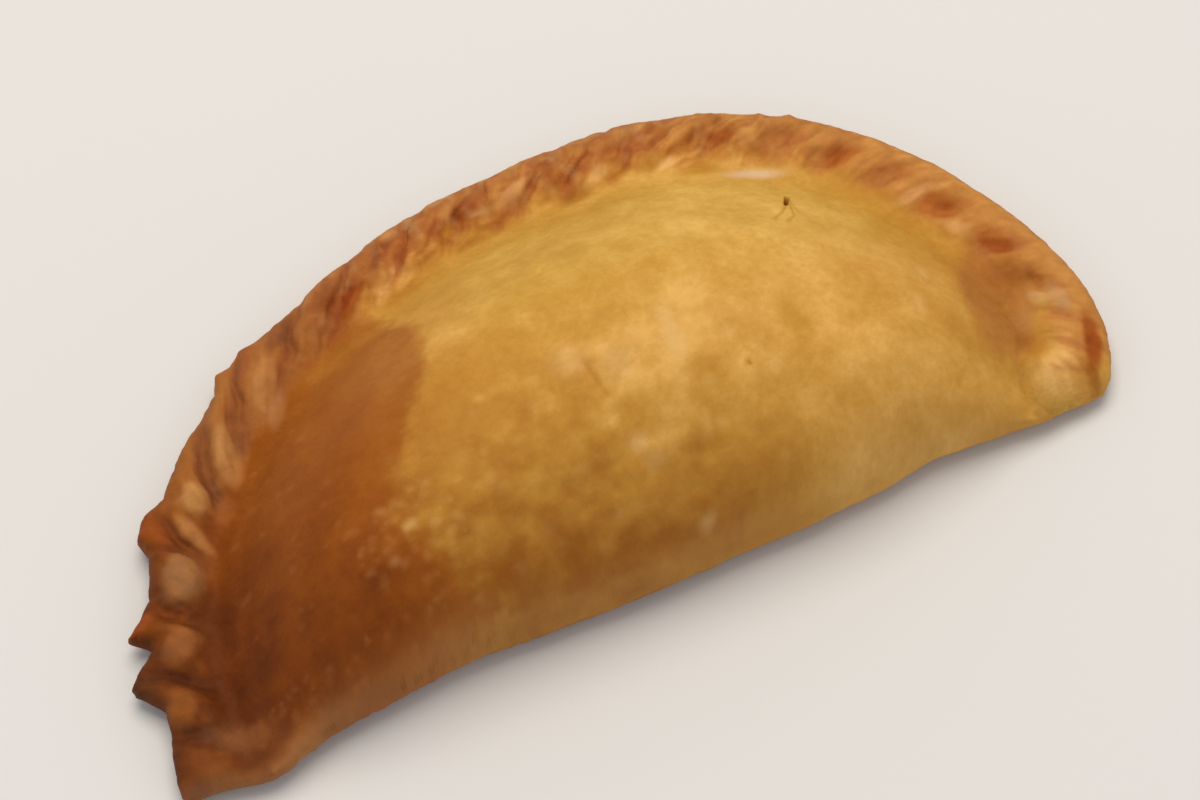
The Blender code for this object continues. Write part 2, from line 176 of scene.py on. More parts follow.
def smoothThrough(x, knots):
    # the natural cubic curve through the knots
    at, values = np.array(sorted(knots), float).T
    gaps = np.diff(at)
    slopes = np.diff(values) / gaps
    system = np.eye(len(at))
    right = np.zeros(len(at))
    for i in range(1, len(at) - 1):
        system[i, i - 1:i + 2] = gaps[i - 1], 2 * (gaps[i - 1] + gaps[i]), gaps[i]
        right[i] = 6 * (slopes[i] - slopes[i - 1])
    bend = np.linalg.solve(system, right)
    i = np.clip(np.searchsorted(at, x) - 1, 0, len(gaps) - 1)
    before, after, gap = x - at[i], at[i + 1] - x, gaps[i]
    curved = (bend[i] * after ** 3 + bend[i + 1] * before ** 3) / (6 * gap)
    level = (values[i] * after + values[i + 1] * before) / gap
    return curved + level - gap * (bend[i] * after + bend[i + 1] * before) / 6


def along(place, knots):
    at, values = np.array(knots, float).T
    return np.interp(place, at, values)


def bump(distance, halfWidth):
    return np.exp(-((distance / halfWidth) ** 2))


def softMax(a, b, softness):
    return 0.5 * (a + b + np.sqrt((a - b) ** 2 + softness ** 2))


def quarterRound(share):
    return np.sqrt(1 - (1 - np.clip(share, 0, 1)) ** 2)


def smoothStep(low, high, value):
    share = np.clip((value - low) / (high - low), 0, 1)
    return share * share * (3 - 2 * share)


def noiseAt(points, size, octaves=1, seed=0.0):
    # smooth noise of about -1 to 1, whose lumps are this many mm across
    offset = Vector((seed, seed * 1.7, seed * 0.6))
    return np.array([noise.fractal(Vector(p) + offset, 1.0, 2.0, octaves) for p in points / size])


def noiseAlong(place, size, seed):
    return noiseAt(np.column_stack([place, 0 * place, 0 * place]), size, 2, seed)


def buildRim(samples=3000):
    # the sealed edge in plan, left tip to right tip; a place on it is a length along it
    degrees = np.linspace(180, 0, samples)
    radius, turn = smoothThrough(degrees, empanada["rimRadii"]), np.radians(degrees)
    points = np.stack([radius * np.cos(turn), radius * np.sin(turn)], axis=1)
    steps = np.linalg.norm(np.diff(points, axis=0), axis=1)
    places = np.concatenate([[0], np.cumsum(steps)])
    ahead = np.gradient(points, places, axis=0)
    ahead /= np.linalg.norm(ahead, axis=1)[:, None]
    return {"points": points, "places": places, "length": places[-1],
            "inward": np.stack([ahead[:, 1], -ahead[:, 0]], axis=1)}


def readRim(rim, place, what):
    return np.stack([np.interp(place, rim["places"], rim[what][:, k]) for k in (0, 1)], axis=1)


def insideRim(rim, place, inset, teeth=True):
    # points at these places, this far inside the rim
    inset = np.broadcast_to(inset, np.shape(place))
    if teeth:
        e, ragged = empanada, relief["ragged"]
        plump = plumpness(place, 0 * place) - e["meanPlumpness"]
        out = along(place, e["corners"]) * np.exp(-inset / e["cornerDepth"])
        out += e["scallop"] * plump * np.exp(-inset / e["scallopFade"])
        out += ragged["out"] * noiseAlong(place, ragged["size"], 3.3) * np.exp(-inset / ragged["fade"])
        inset = inset - out
    return readRim(rim, place, "points") + inset[:, None] * readRim(rim, place, "inward")


def nearestRim(rim, points):
    # each point's place along the rim, and its inset
    place, inset = np.empty(len(points)), np.empty(len(points))
    for start in range(0, len(points), spacing["atOnce"]):
        some = slice(start, start + spacing["atOnce"])
        away = np.hypot(*(points[some, k, None] - rim["points"][:, k] for k in (0, 1)))
        closest = away.argmin(axis=1)
        place[some] = rim["places"][closest]
        inset[some] = away[np.arange(len(closest)), closest]
    return place, inset


def foldLine(x):
    return sum(amount * bump(x - where, half) for where, amount, half in empanada["foldWaves"])


def foldShare(x):
    # 1 along most of the fold, 0 at the tips
    away = np.abs(x - empanada["tipsMiddle"]) / empanada["tipsApart"] * 2
    return 1 - np.clip(away, 0, 1) ** empanada["tipSharpness"]


def edgeHeight(x, isFold):
    rise = empanada["foldEdgeHeight"] - empanada["rimEdgeHeight"]
    return empanada["rimEdgeHeight"] + rise * foldShare(x) * isFold


def leaningPlace(place, inset):
    # the place along the rim where the crimp through this point crosses the crest of the rope
    size, amounts = empanada["crimpWobble"]
    wobble = along(place, amounts) * noiseAt(np.column_stack([place, inset, 0 * inset]), size, 1, 1.9)
    reach = np.minimum(inset, empanada["leanReach"]) - empanada["ropeCrest"]
    return place + wobble + along(place, empanada["crimpLeans"]) * reach


def plumpness(place, inset):
    # 0 in a crimp's valleys, 1 on its crest
    valleys = np.concatenate([[0], np.cumsum(empanada["crimpWidths"])])
    leaning = leaningPlace(place, inset)
    i = np.clip(np.searchsorted(valleys, leaning) - 1, 0, len(valleys) - 2)
    share = np.clip((leaning - valleys[i]) / (valleys[i + 1] - valleys[i]), 0, 1)
    plump = np.sin(np.pi * share ** empanada["crimpSkew"]) ** along(place, empanada["crimpRoundness"])
    start, end, middle, half = empanada["hollows"]
    hollow = smoothStep(start, end, place)
    filled = np.clip(along(place, empanada["corners"]) / empanada["fullCorner"], 0, 1)
    corner = filled * np.exp(-inset / empanada["scallopFade"])
    return 1 - (1 - plump) * (1 - hollow + hollow * bump(inset - middle, half)) * (1 - corner)


def ropeHeight(place, inset, fromFold):
    e = empanada
    # the crimps even out on the dome
    mean, whole = e["meanPlumpness"], smoothStep(*e["crimpsEnd"], inset)
    plump = mean + (plumpness(place, inset) - mean) * whole
    width = along(place, e["ropeWidths"]) + e["crimpReach"] * (plump - mean)
    outer, inner = inset / e["ropeCrest"], (width - inset) / (width - e["ropeCrest"])
    innerSide = quarterRound(inner) + e["ropeSlope"] * np.minimum(inner, 0)
    body = np.where(inset < e["ropeCrest"], quarterRound(outer), innerSide)
    length, share = e["unevenness"]
    uneven = 1 + share * noiseAlong(leaningPlace(place, inset), length, 6.5) * whole
    top = e["ropeBase"] - e["rimEdgeHeight"] + along(place, e["crimpHeights"]) * plump * uneven
    where, dentInset, radius, depth = e["dent"]
    dent = depth * bump(np.hypot(place - where, inset - dentInset), radius)
    return e["rimEdgeHeight"] + top * body * quarterRound(fromFold / e["ropeCrest"]) - dent


def domeHeight(x, y, inset, fromFold):
    e = empanada
    toRim = np.maximum(inset - e["domeInset"], 0)
    share = fromFold / np.maximum(fromFold + toRim, spacing["same"])
    end = np.clip(np.abs(x - e["domeCentre"]) / e["domeHalfLength"], 0, 1)
    narrow = np.clip((fromFold + toRim) / e["domeFullSpan"], 0, 1)
    height = e["domeHeight"] * (1 - end ** e["domeArch"]) * narrow * (2 - narrow)
    near = quarterRound(share / e["crestShare"])
    far = np.cos(np.pi / 2 * np.clip((share - e["crestShare"]) / (1 - e["crestShare"]), 0, 1)) ** e["farSide"]
    rise = np.where(share < e["crestShare"], near, far)
    waves = sum(size * np.sin(x * across + y * alongY + phase)
                for across, alongY, phase, size in e["domeWaves"])
    edge = edgeHeight(x, 1)
    foot = edge + (e["domeFoot"] - edge) * share
    underRope = e["ropeSlope"] * np.maximum(e["domeInset"] - inset, 0)
    return foot + (np.maximum(height - foot, 0) + waves) * rise - underRope


def topHeight(points, place, inset):
    x, y = points.T
    fromFold = np.maximum(y - foldLine(x), 0)
    rope, dome = ropeHeight(place, inset, fromFold), domeHeight(x, y, inset, fromFold)
    return softMax(rope, dome, along(place, empanada["seamSoftness"]))


def buildOutline(rim):
    # the edge from above, anticlockwise: furthest out, without teeth, and 1 on the fold
    cut = empanada["tipCut"]
    place = np.linspace(rim["length"] - cut, cut, round(rim["length"] / spacing["rim"]))
    left, right = rim["points"][0, 0] + cut, rim["points"][-1, 0] - cut
    x = np.linspace(left, right, round((right - left) / spacing["fold"]))
    fold = np.stack([x, foldLine(x)], axis=1)
    isFold = np.concatenate([np.zeros(len(place)), np.ones(len(x))])
    outer, plain = (np.concatenate([insideRim(rim, place, 0.0, teeth), fold]) for teeth in (True, False))
    return {"outer": outer, "plain": plain, "isFold": isFold, "place": place, "foldX": x}


def inwardOf(ring):
    # directions into a closed ring, eased round its corners
    step = np.roll(ring, -1, axis=0) - np.roll(ring, 1, axis=0)
    inward = np.stack([-step[:, 1], step[:, 0]], axis=1)
    inward /= np.linalg.norm(inward, axis=1)[:, None]
    gaps = np.linalg.norm(ring[:, None] - ring[None], axis=2)
    eased = bump(gaps, empanada["tipFade"] / 2) @ inward
    return eased / np.linalg.norm(eased, axis=1)[:, None]


def hexCloud(low, high, step):
    # points in staggered rows over a box
    rowStep = step * math.sqrt(3) / 2
    xs, ys = np.meshgrid(np.arange(low[0], high[0], step), np.arange(low[1], high[1], rowStep))
    xs[1::2] += step / 2
    return np.stack([xs.ravel(), ys.ravel()], axis=1)


def innerPoints(rim, edge):
    # points of the top inside its edge, with their places along the rim and their insets
    rows, gap = np.array(spacing["rimRows"]), spacing["gap"]
    place = edge["place"]
    bandPlace = np.concatenate([place + spacing["rim"] / 2 * (row % 2) for row in range(len(rows))])
    bandInset = np.repeat(rows, len(place))
    band = insideRim(rim, bandPlace, bandInset)
    _, trueInset = nearestRim(rim, insideRim(rim, bandPlace, bandInset, teeth=False))
    keep = (trueInset > spacing["crossed"] * bandInset) & (band[:, 1] - foldLine(band[:, 0]) > gap)
    band, bandPlace, bandInset = band[keep], bandPlace[keep], bandInset[keep]

    cloud = []
    for i, row in enumerate(spacing["foldRows"]):
        x = edge["foldX"] + spacing["fold"] / 2 * (i % 2)
        cloud.append(np.stack([x, foldLine(x) + row], axis=1))
    low = rim["points"][:, 0].min(), spacing["foldRows"][-1] + gap
    grid = hexCloud(low, rim["points"].max(axis=0), spacing["dome"])
    grid[:, 1] += foldLine(grid[:, 0]) * bump(grid[:, 1], spacing["foldFade"])
    body = np.concatenate([*cloud, grid])
    fromFold = body[:, 1] - foldLine(body[:, 0])
    place, inset = nearestRim(rim, body)
    inside = np.hypot(body[:, 0], body[:, 1]) < np.hypot(*readRim(rim, place, "points").T)
    keep = inside & (inset > rows[-1] + gap) & (fromFold > spacing["foldRows"][0] - spacing["same"])
    body, place, inset = body[keep], place[keep], inset[keep]

    # finer where small marks are cut
    for x, y, radius, step in spacing["fine"]:
        keep = np.hypot(body[:, 0] - x, body[:, 1] - y) > radius
        disc = hexCloud((-radius, -radius), (radius, radius), step)
        disc = disc[np.hypot(*disc.T) < radius - step / 2] + [x, y]
        finePlace, fineInset = nearestRim(rim, disc)
        body = np.concatenate([body[keep], disc])
        place, inset = np.concatenate([place[keep], finePlace]), np.concatenate([inset[keep], fineInset])
    return [np.concatenate(both) for both in ((band, body), (bandPlace, place), (bandInset, inset))]


def triangulate(outlinePoints, inside):
    # triangles over the outline and the points in it, none outside
    flat = [tuple(point) for point in np.concatenate([outlinePoints, inside])]
    ring = list(range(len(outlinePoints)))
    _, _, faces, sources, _, within = delaunay_2d_cdt(flat, [], [ring], 1, spacing["same"], True)
    return [[sources[corner][0] for corner in face] for face, parents in zip(faces, within) if parents]


def settle(z, faces, weight, rounds):
    # evens out the heights where weight is 1, as dough does over its filling
    ends = np.array([(a, b) for face in faces for a, b in zip(face, face[1:] + face[:1])])
    neighbours = np.maximum(np.bincount(ends[:, 0], minlength=len(z)), 1)
    for _ in range(rounds):
        mean = np.bincount(ends[:, 0], weights=z[ends[:, 1]], minlength=len(z)) / neighbours
        z = z + weight * (mean - z)
    return z


def settledTop(plan, place, inset, faces, edgeCount, edgeHeights):
    # the heights of the top, with the dome, the seam and the joins at the tips evened out
    e = empanada
    z = np.concatenate([edgeHeights, topHeight(plan[edgeCount:], place[edgeCount:], inset[edgeCount:])])
    fromFold = plan[:, 1] - foldLine(plan[:, 0])
    dome, joins = (smoothStep(*insets, inset) * smoothStep(*folds, fromFold)
                   for insets, folds in (e["domeSettles"], e["tipsSettle"]))
    share, half, folds = e["seamSettles"]
    seam = share * bump(inset - along(place, e["ropeWidths"]), half) * smoothStep(*folds, fromFold)
    tips = sum(bump(np.hypot(plan[:, 0] - x, plan[:, 1] - y), reach) for x, y, reach in e["tipJoins"])
    weight = np.maximum.reduce([dome, seam, np.clip(tips, 0, 1) * joins])
    weight[:edgeCount] = 0
    return settle(z, faces, weight, e["settleRounds"])


def buildCrust():
    # one closed skin: points, faces and what each point's place on the empanada is
    rim = buildRim()
    edge = buildOutline(rim)
    outer, plain, isFold = edge["outer"], edge["plain"], edge["isFold"]
    count = len(outer)
    inner, place, inset = innerPoints(rim, edge)
    topFaces = triangulate(outer, inner)
    print("top triangulated:", len(topFaces), "triangles")

    height = edgeHeight(outer[:, 0], isFold)
    edgePlace = np.concatenate([edge["place"], np.where(edge["foldX"] < 0, 0, rim["length"])])
    _, edgeInset = nearestRim(rim, plain)
    plan = np.concatenate([outer, inner])
    places, insets = np.concatenate([edgePlace, place]), np.concatenate([edgeInset * isFold, inset])
    top = np.column_stack([plan, settledTop(plan, places, insets, topFaces, count, height)])
    print("dome settled")

    # the sides roll under in rings, down to the flat base
    rimDrawIn, foldDrawIn = empanada["rimDrawIn"], empanada["foldDrawIn"]
    drawIn = rimDrawIn + (foldDrawIn - rimDrawIn) * foldShare(outer[:, 0]) * isFold
    inward = inwardOf(plain)
    turns = np.linspace(0, math.pi / 2, spacing["sideRings"] + 1)[1:]
    rings = []
    for turn in turns:
        ring = outer + (plain - outer) * math.sin(turn) + inward * (drawIn * (1 - math.cos(turn)))[:, None]
        rings.append(np.column_stack([ring, height * (1 - math.sin(turn))]))
    baseRing = rings[-1][:, :2]
    baseCloud = hexCloud(*spacing["baseBox"], spacing["base"])
    basePlace, baseInset = nearestRim(rim, baseCloud)
    insideBase = np.hypot(*baseCloud.T) < np.hypot(*readRim(rim, basePlace, "points").T)
    clearOfFold = baseCloud[:, 1] - foldLine(baseCloud[:, 0]) > foldDrawIn + spacing["baseClear"]
    keep = insideBase & clearOfFold & (baseInset > rimDrawIn + spacing["baseClear"])
    baseCloud, basePlace, baseInset = baseCloud[keep], basePlace[keep], baseInset[keep]
    baseFaces = triangulate(baseRing, baseCloud)

    points = np.concatenate([top, *rings, np.column_stack([baseCloud, np.zeros(len(baseCloud))])])
    faces = list(topFaces)
    starts = [0] + [len(top) + k * count for k in range(len(rings))]
    for upper, lower in zip(starts, starts[1:]):
        for i in range(count):
            j = (i + 1) % count
            faces.append([upper + j, upper + i, lower + i, lower + j])
    cloudStart = len(points) - len(baseCloud)
    for face in baseFaces:
        faces.append([starts[-1] + k if k < count else cloudStart + k - count for k in reversed(face)])

    low, high = points.min(axis=0), points.max(axis=0)
    marks = {
        "place": np.concatenate([places, np.tile(edgePlace, len(rings)), basePlace]),
        "inset": np.concatenate([insets, np.tile(edgeInset * isFold, len(rings)), baseInset]),
        # 0 on top, rising to 1 round the side, and 2 underneath
        "under": np.concatenate([np.zeros(len(top)), np.repeat(np.sin(turns), count),
                                 np.full(len(baseCloud), 2.0)]),
        "shift": np.array([*(low + high)[:2] / 2, low[2]]),
    }
    return points, faces, marks


def distanceTo(points, corners):
    # how far each point is, in plan, from the line through the corners
    nearest = np.full(len(points), np.inf)
    for a, b in zip(np.array(corners, float), np.array(corners[1:], float)):
        share = np.clip((points[:, :2] - a) @ (b - a) / ((b - a) @ (b - a)), 0, 1)
        nearest = np.minimum(nearest, np.linalg.norm(points[:, :2] - a - share[:, None] * (b - a), axis=1))
    return nearest


def oval(across, down, halfLength, halfWidth, degrees=0.0, edge=1.5):
    # a soft-edged oval round 0, 0: 1 inside, 0 outside
    turn = math.radians(degrees)
    u = (across * math.cos(turn) + down * math.sin(turn)) / halfLength
    v = (down * math.cos(turn) - across * math.sin(turn)) / halfWidth
    return np.exp(-((u * u + v * v) ** edge))


def rimOval(place, inset, where, down, halfAlong, halfAcross):
    # an oval on the rim, which leans as the crimps do there
    across = place - where + along(where, rimSpotLeans) * (inset - down)
    return oval(across, inset - down, halfAlong, halfAcross, 0.0, rimSpotEdge) * (inset < rimSpotReach)


def strandsAt(place, inset, across, down, seed):
    # noise drawn out along the crimps
    drawn = np.column_stack([leaningPlace(place, inset) / across, inset / down, 0 * inset])
    return noiseAt(drawn, 1.0, 2, seed)


def reliefHeight(points, marks):
    # how far each point moves out along its normal
    x, y, _ = points.T
    place, inset, under = marks["place"], marks["inset"], marks["under"]
    fromFold = y - foldLine(x)
    ontoDome, atEdge, atFold = relief["ropeFades"]
    rope = smoothStep(*ontoDome, inset) * smoothStep(*atEdge, inset) * smoothStep(*atFold, fromFold)
    height = sum(size * noiseAt(points, width, 2, width) for width, size in relief["swells"])
    wx, wy, half, width, degrees, size, rise = relief["wrinkles"]
    height += rise * oval(x - wx, y - wy, half, width, degrees) * noiseAt(points, size, 2, 7.7)

    for i, (across, down, heights) in enumerate(relief["strands"]):
        height += rope * along(place, heights) * strandsAt(place, inset, across, down, 5.1 + i)
    size, heights = relief["rimLumps"]
    height += rope * along(place, heights) * noiseAt(points, size, 2, 4.4)
    for where, down, halfAlong, halfAcross, rise, *_ in rimSpots:
        height += rise * rimOval(place, inset, where, down, halfAlong, halfAcross)

    crumbs = relief["crumbs"]
    left, right = crumbs["ends"]
    crumbly = bump(fromFold, crumbs["reach"]) * smoothStep(*left, x) * smoothStep(*right, x)
    height += crumbly * crumbs["height"] * noiseAt(points, crumbs["size"], 2, 2.9)

    gathers = relief["gathers"]
    beyond = np.maximum(inset - along(place, empanada["ropeWidths"]), 0)
    behind = smoothStep(*gathers["insets"], inset) * smoothStep(*gathers["folds"], fromFold)
    height -= gathers["depth"] * (1 - plumpness(place, inset)) * np.exp(-beyond / gathers["fade"]) * behind

    for corners, half, depth in relief["cuts"]:
        height -= depth * bump(distanceTo(points, corners), half)
    for bx, by, radius, rise in relief["blisters"]:
        height += rise * oval(x - bx, y - by, radius, radius)

    # less at the sides, and the base only rises off the floor
    base = relief["base"]
    lift = base["height"] * np.clip(noiseAt(points, base["size"], 2, 9.0), 0, 1)
    return height * smoothStep(*relief["sideFade"], under), lift


# How brown the crust is, with painted shade in the rope's valleys and in the vent: 0 is the palest yellow, 1
# the darkest brown
browning = {
    # the brown left end begins at these (y, x), and is this brown at these x
    "leftStarts": ((3, -26), (8, -28.5), (13, -32.5), (18, -29.5), (22, -27.5), (28, -23), (32, -19.5),
                   (36, -16.5), (44, -15.5), (52, -17), (60, -20)),
    "leftTones": ((-66, 1.05), (-60, 1.06), (-54, 0.97), (-48, 0.83), (-42, 0.75), (-36, 0.66), (-30, 0.58),
                  (-24, 0.47), (-16, 0.43)),
    # (y, half width of its edge), and (y, share of the wander): crisper at the back
    "leftEdges": ((12, 3.6), (22, 2.4), (34, 1.6)), "leftSteady": ((14, 1.0), (30, 0.55)),
    # the wander of every edge: (size, mm)
    "wander": ((8.0, 2.4), (2.6, 1.6), (1.1, 0.8)),
    # low down: change, how far in, half width, between which x; high up: change, between which y and x
    "lowLeft": (0.12, 6, 7, (-54, -46)), "highLeft": (-0.1, (20, 34), (-34, -44)),
    # the flattened tip is paler: x, y, half length, half width, angle, change, pale, shares of the wander
    "leftTip": (-60.6, 4.2, 5.2, 2.2, -30.0, -0.2, 0.09, 0.4, 0.3),
    # the low edge: (x, change), and how far in, half width, share of the wander
    "lowEdge": ((-70, -0.22), (-62, -0.22), (-54, -0.38), (-46, -0.18), (-40, -0.08), (-30, -0.14), (-22, 0),
                (48, 0), (56, 0.08), (63, 0.06), (68, 0)),
    "lowEdgeAt": (0.4, 1.7, 0.15),
    # size, change of tone, how far in, half width, between which x, how much less on the brown
    "lowBlotches": (4.0, 0.18, 9.0, 12.0, (30, -10), 0.55),
    # the yellow dome: (x, tone) at the back and nearer the fold, and how far from the fold they meet
    "domeBack": ((-28, 0.24), (-16, 0.17), (0, 0.11), (18, 0.1), (30, 0.03), (44, 0.07), (54, 0.15),
                 (60, 0.2)),
    "domeFront": ((-34, 0.36), (-20, 0.26), (-8, 0.18), (6, 0.13), (18, 0.12), (30, 0.04), (50, 0.11),
                  (60, 0.15)),
    "domeMeet": (14, 30),
    # paler over the middle of the crown: x, y, half length, half width, change
    "crown": (10.5, 19.5, 11.5, 7.5, -0.12),
    # the band that runs along the fold: (x, added tone), and how far in, half width, share of the wander
    "foldBand": ((-66, -0.1), (-50, 0), (-36, 0), (-24, 0.2), (-8, 0.26), (6, 0.22), (22, 0.14), (30, 0.03),
                 (48, -0.05), (70, 0)),
    "foldBandAt": (2.5, 5.0, 0.4),
    # brown patch at the right: x, y, half length, half width, angle, tone, pale; edge, share of the wander
    "rightPatch": (64.1, 18.6, 12.2, 5.6, 63.0, 0.36, 0.05), "patchEdge": (0.12, 0.64), "patchWander": 0.35,
    # along the rim: tones of the folds' crests and of the valleys, and what the outer edge adds, half width;
    # the valleys are darker partly by browning and partly by painted shade
    "crests": ((0, 1.02), (12, 1.02), (24, 0.95), (34, 0.88), (45, 0.66), (60, 0.54), (75, 0.5), (100, 0.42),
               (130, 0.37), (150, 0.33), (165, 0.25), (185, 0.19), (210, 0.2), (232, 0.18)),
    "valleys": ((0, 1.15), (8, 1.2), (17, 1.2), (27, 1.05), (39, 0.95), (53, 0.85), (64, 0.8), (77, 0.72),
                (88, 0.62), (100, 0.56), (112, 0.54), (131, 0.5), (141, 0.45), (153, 0.38), (165, 0.36),
                (174, 0.41), (183, 0.3), (194, 0.36), (205, 0.46), (215, 0.34), (221, 0.27), (227, 0.32),
                (232, 0.28)),
    "outerEdge": (0.08, 1.2),
    # how far in the rim's colours reach, and over what half width they end
    "rimEnds": ((0, 7.4), (45, 7.8), (70, 8.2), (90, 7.0), (150, 7.4), (170, 8.6), (196, 8.4), (203, 6.8),
                (208, 5.0), (213, 5.2), (220, 8.2), (232, 8.6)),
    "rimEdges": ((0, 1.6), (70, 1.8), (90, 2.8), (150, 2.8), (170, 1.8), (232, 1.6)),
    # share of the wander there, how much further in the valleys reach, and where the fold takes over
    "ropeWander": 0.5, "valleyReach": 0.9, "ropeJoins": (1.5, 6),
    # a valley's tone: between which plumpness it comes in, share of the lumps, between which insets
    "valleyStarts": ((0.92, 0.3), 0.3, (-0.5, 2.5)),
    # unevenness of the rim: (place, amount), in streaks and in lumps, and how large they are
    "streaks": ((0, 0.08), (75, 0.14), (95, 0.24), (155, 0.24), (175, 0.12), (232, 0.1)),
    "lumps": ((0, 0.1), (75, 0.12), (95, 0.2), (155, 0.2), (175, 0.12), (232, 0.1)),
    "streakSize": (1.4, 2.8), "lumpSize": 2.4,
    # of the vent and its cracks, painted shade: the most depth that counts, and how much darker each mm of it
    # is painted
    "cutShade": (0.9, 0.9),
    # the sides: where they begin, share of their tone, what the rim adds to the crests; the fold: (x, tone)
    "sides": (0.25, 0.95), "sideShare": 0.8, "rimSide": 0.12, "foldSideInset": 3.0,
    "foldSide": ((-70, 0.85), (-40, 0.72), (-10, 0.6), (25, 0.36), (62, 0.32), (70, 0.42)),
    # underneath: in the middle, near the rim, half width, share of the wander
    "base": (0.5, 0.7, 9.0, 0.05),
}

# The amber of the browned parts, and the pale tone over them, partly paler dough and partly painted highlight
tints = {
    "upperRim": ((-35, -10), (52, 34)),  # between which x the upper rim begins and ends
    # amber of the upper rim, of the brown left and of the patch, and how much less of these two on the rim
    "upperAmber": 0.62, "leftAmber": 0.45, "patchAmber": 0.5, "lessOnRim": 0.5,
    # on the rim and in its valleys: amount, between which x; at the back: amount, between which y, x, insets
    "rimAmbers": ((0.35, -62, -20), (0.5, 40, 54)), "valleyAmber": (0.3, -50, -15),
    "backAmber": (-0.5, (20, 40), (-16, 0), (7, 18)),
    "mostAmber": 1.6, "sideAmber": 0.45,  # the most there is, and how much less on the sides
    # pale at the fold and at the upper edge: amount, half width; on the left rim: amount, between which x
    "foldPale": (0.1, 1.0), "edgePale": (0.12, 2.5), "rimPale": (0.1, -62, -45),
    "lowEdgePale": 0.4, "upperPale": -0.05, "sidePale": 0.5,
    "patches": (2.6, 0.7, 0.3),  # of the upper rim: size, how much more amber, how much paler
}

# Small pale flecks: how many, between which x and which y, smallest and largest radius, toast, pale
fleckPatches = (
    (60, (-39, -23), (6, 17), (0.3, 0.8), -0.07, 0.05), (40, (-60, -20), (1, 5), (0.3, 0.7), -0.06, 0.05),
    (40, (-25, 25), (3, 24), (0.5, 1.2), -0.05, 0.07), (30, (-56, -34), (10, 44), (0.4, 0.8), -0.05, 0.04),
)
fleckShape = 0.8  # how wide a fleck is for its length
# Spots of their own on the dome
domeSpots = (
    # x, y, half length, half width, degrees, toast and shade, and where there is any: pale, whitish mark
    # the first spot is a whitish mark, paler and whiter there
    (42.6, 52.0, 4.0, 1.2, -22, 0, 0.3, 0.5), (13.0, 21.4, 4.2, 1.3, 84, -0.09, 0.32),
    (-1.6, 22.8, 2.6, 2.2, 0, -0.06, 0.24), (4.5, 20.1, 2.8, 2.2, 20, 0.05, 0.24),
    (2.6, 10.3, 1.6, 1.2, 0, -0.09, 0.25), (3.9, 8.0, 1.5, 1.2, 0, -0.08, 0.22),
    # painted shade: the spot at 0.6, 19.2 is a dark line along the crease
    (0.6, 19.2, 2.6, 0.45, 100, 0.09), (53.2, 22.1, 1.8, 0.8, 80, -0.05, 0.2),
    (49.4, 15.7, 1.8, 0.8, 80, -0.04, 0.16), (-30, 13, 0.9, 0.7, 0, -0.12, 0.25),
    (-27, 12, 0.8, 0.6, 0, -0.1, 0.2), (-34, 10, 0.8, 0.6, 0, -0.1, 0.2), (21.2, 14.0, 0.4, 0.35, 0, 0.25),
    (2.8, 1.0, 3.4, 1.2, 0, 0.17), (-12, 8, 2.2, 1.4, 30, 0.1), (-1.5, 11.5, 2.6, 1.4, -20, 0.13),
    (11, 7.6, 3.0, 1.2, -10, 0.14), (-6, 8, 2, 1.6, 0, -0.03), (-18, 10.8, 2.6, 2.0, 0, 0.12),
    (0, 21, 3.2, 1.6, 90, 0.12), (30, 17.5, 2.2, 4.0, 0, 0.1), (14.2, 15.2, 4.2, 2.6, 10, 0.1),
    # painted shade: the spot at 66.6, 20.6 darkens the crease between the dome and the rope
    (26.6, 11, 4.4, 2.4, 0, 0.07), (66.6, 20.6, 2.4, 3.0, 0, 0.12), (66.4, 13.6, 2.8, 1.6, 60, 0.03, 0.12),
    (-19.5, 52, 3.6, 2.8, 0, -0.1), (-48, 38, 2.6, 2.4, 0, 0.08), (5, 56.6, 9, 2.4, 0, 0.05),
    (18, 60.4, 2.6, 1.5, 15, 0.27), (30, 60.6, 2.6, 1.4, -15, 0.21), (0, 60.6, 2.2, 1.3, 0, 0.12),
    (66.6, 4.8, 4.2, 2.8, 60, -0.3), (54.5, 11, 3.0, 3.4, 0, 0.06), (66, 9.4, 3.2, 2.4, 0, 0.19),
    (-36, 26.5, 3.2, 3.2, 0, 0.06), (-12, 38, 5, 4, 0, -0.08), (72.6, 5.4, 3.0, 1.0, 78, 0.06),
    (39, 11.4, 5, 3.4, 10, -0.08), (48, 15.4, 2.6, 2.4, 0, -0.07), (-11, 57, 3.4, 1.8, 15, 0.1),
    (36, 56.6, 3.0, 1.6, -15, 0.18), (3, 60.4, 4.6, 1.3, 5, 0.19), (-5.5, 60, 2.4, 1.3, 10, 0.12),
    (-54, 29, 2.6, 4.6, 0, -0.13), (-28, 50.5, 4, 2, 20, -0.15), (-36, 9.0, 3, 2, 0, 0.14),
    # painted highlight: the pale spot at 8.5, 1.2 lies on the blister there
    (-17, 27, 9, 3.5, 0, 0.07), (8.5, 1.2, 1.5, 0.7, 10, -0.06, 0.3), (30, 35, 10, 8, 0, 0.02),
    (18, 26, 3.2, 2.6, 0, -0.09, 0.06), (6, 26, 2.6, 2.6, 0, 0.08), (24, 38, 3.2, 3, 0, -0.09, 0.04),
    (36, 50, 3.2, 2.6, 0, 0.07), (24, 54.5, 15, 3.6, 3, 0.05), (42, 56, 2.6, 1.5, -20, -0.1),
    (-18, 56, 2.2, 1.8, 0, -0.12), (-24, 11.4, 2.6, 1.8, 0, 0.11), (6.4, 8, 1.8, 1.4, 0, 0.1),
    (-11, 20.5, 4.4, 2.6, 0, 0.09), (-55, 9.6, 3.4, 2.4, 20, 0.1), (30.6, 44, 3.4, 3, 0, 0.07),
    (9, 46, 6, 4.6, 15, 0.04), (-41, 20, 3, 3, 0, 0.07),
)
